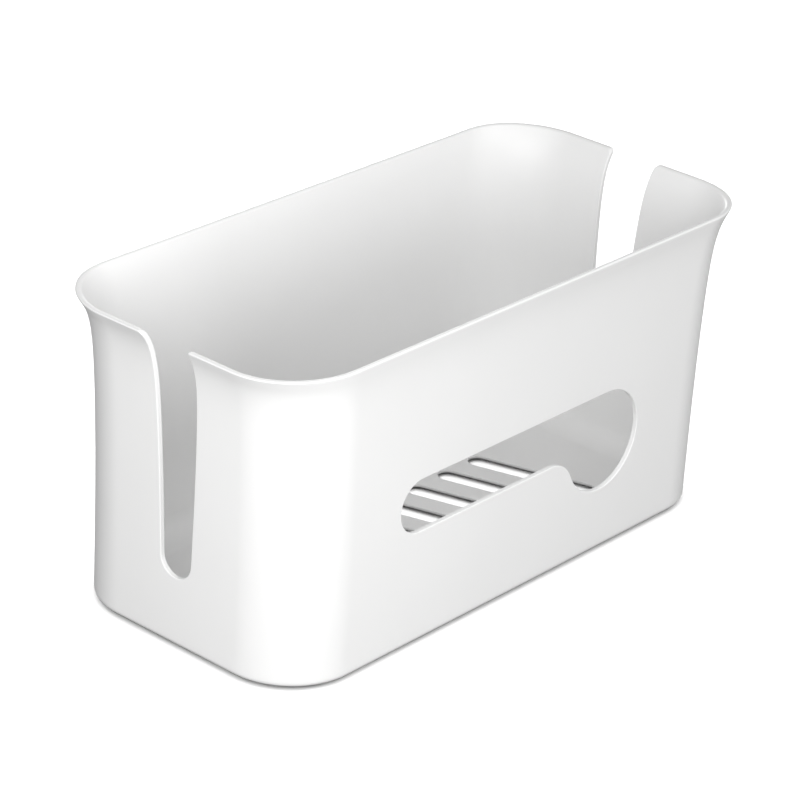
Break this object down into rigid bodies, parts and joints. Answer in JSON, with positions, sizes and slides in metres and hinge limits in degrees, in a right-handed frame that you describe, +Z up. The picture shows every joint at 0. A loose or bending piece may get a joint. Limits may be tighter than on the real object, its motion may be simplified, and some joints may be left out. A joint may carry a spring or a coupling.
{
  "type": "cable management box",
  "caption": "Open-topped moulded tub that hides a power strip and its cables, with a window in front, notched ends, a vented floor and rubber feet.",
  "frame": {"origin": "centre of the footprint, on the surface that the rubber feet stand on", "axes": "+X along the length towards the round end of the window, +Y from the front wall with the window to the back wall, +Z up"},
  "size_m": [0.3224, 0.1518, 0.1533],
  "materials": {
    "tub_plastic": "white moulded plastic, fine satin grain",
    "foot_rubber": "dark grey soft rubber, matte"
  },
  "bodies": {
    "root": {"tub": "tub_plastic", "foot_front_left": "foot_rubber", "foot_front_right": "foot_rubber", "foot_back_left": "foot_rubber", "foot_back_right": "foot_rubber"}
  },
  "joints": []
}
